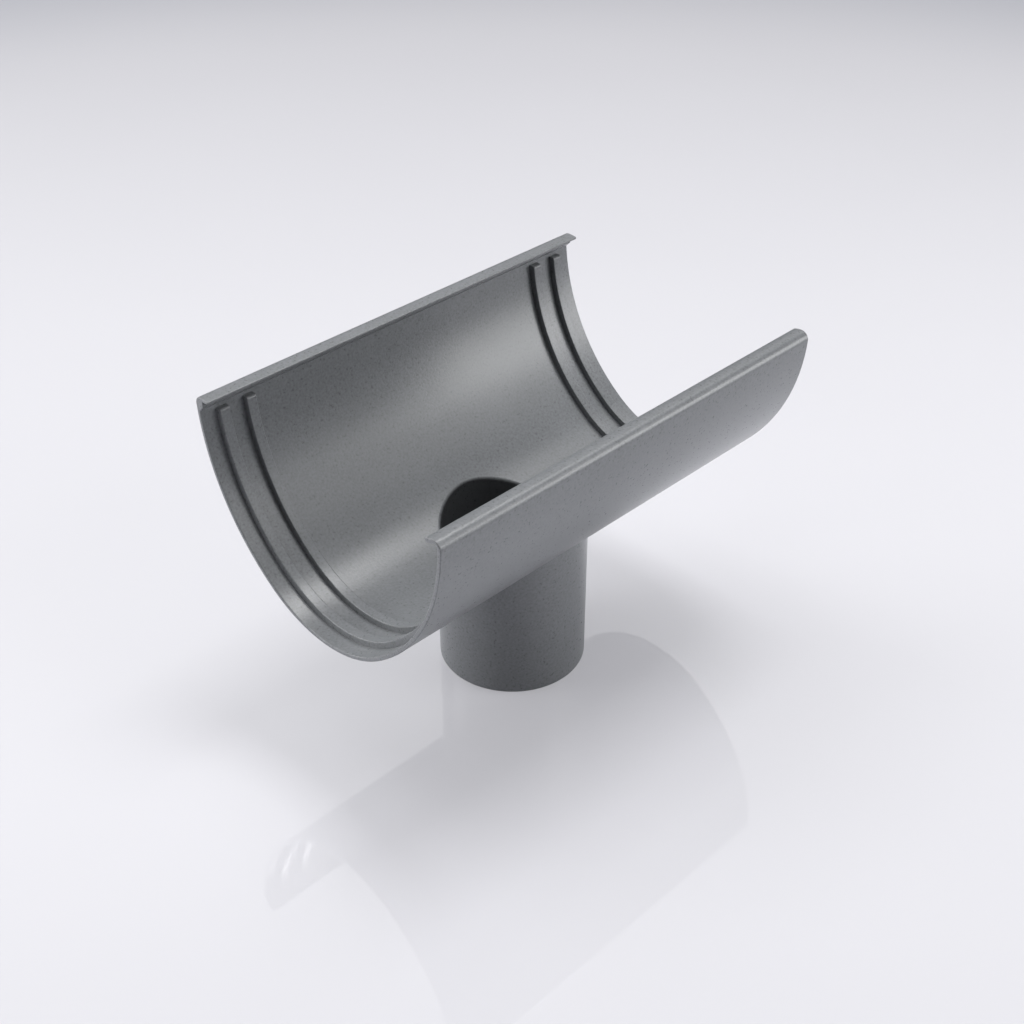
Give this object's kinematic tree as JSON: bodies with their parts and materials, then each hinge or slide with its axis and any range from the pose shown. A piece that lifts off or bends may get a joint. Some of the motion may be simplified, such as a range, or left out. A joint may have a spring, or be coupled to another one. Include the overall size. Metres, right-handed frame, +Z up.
{
  "type": "gutter outlet",
  "caption": "Oval gutter outlet: a short open trough with hooked rims, seal ribs inside its ends and a round spigot below for the downpipe.",
  "frame": {"origin": "on the spigot's axis, at the plane of its lower end", "axes": "+X along the gutter, +Y towards the building (the rim with the thick shoulder), +Z up, out of the open trough"},
  "size_m": [0.256, 0.1708, 0.18],
  "materials": {
    "grey_plastic": "satin mid-grey with a fine grain moulded into the surface"
  },
  "bodies": {
    "root": {"gutter_outlet": "grey_plastic"}
  },
  "joints": []
}
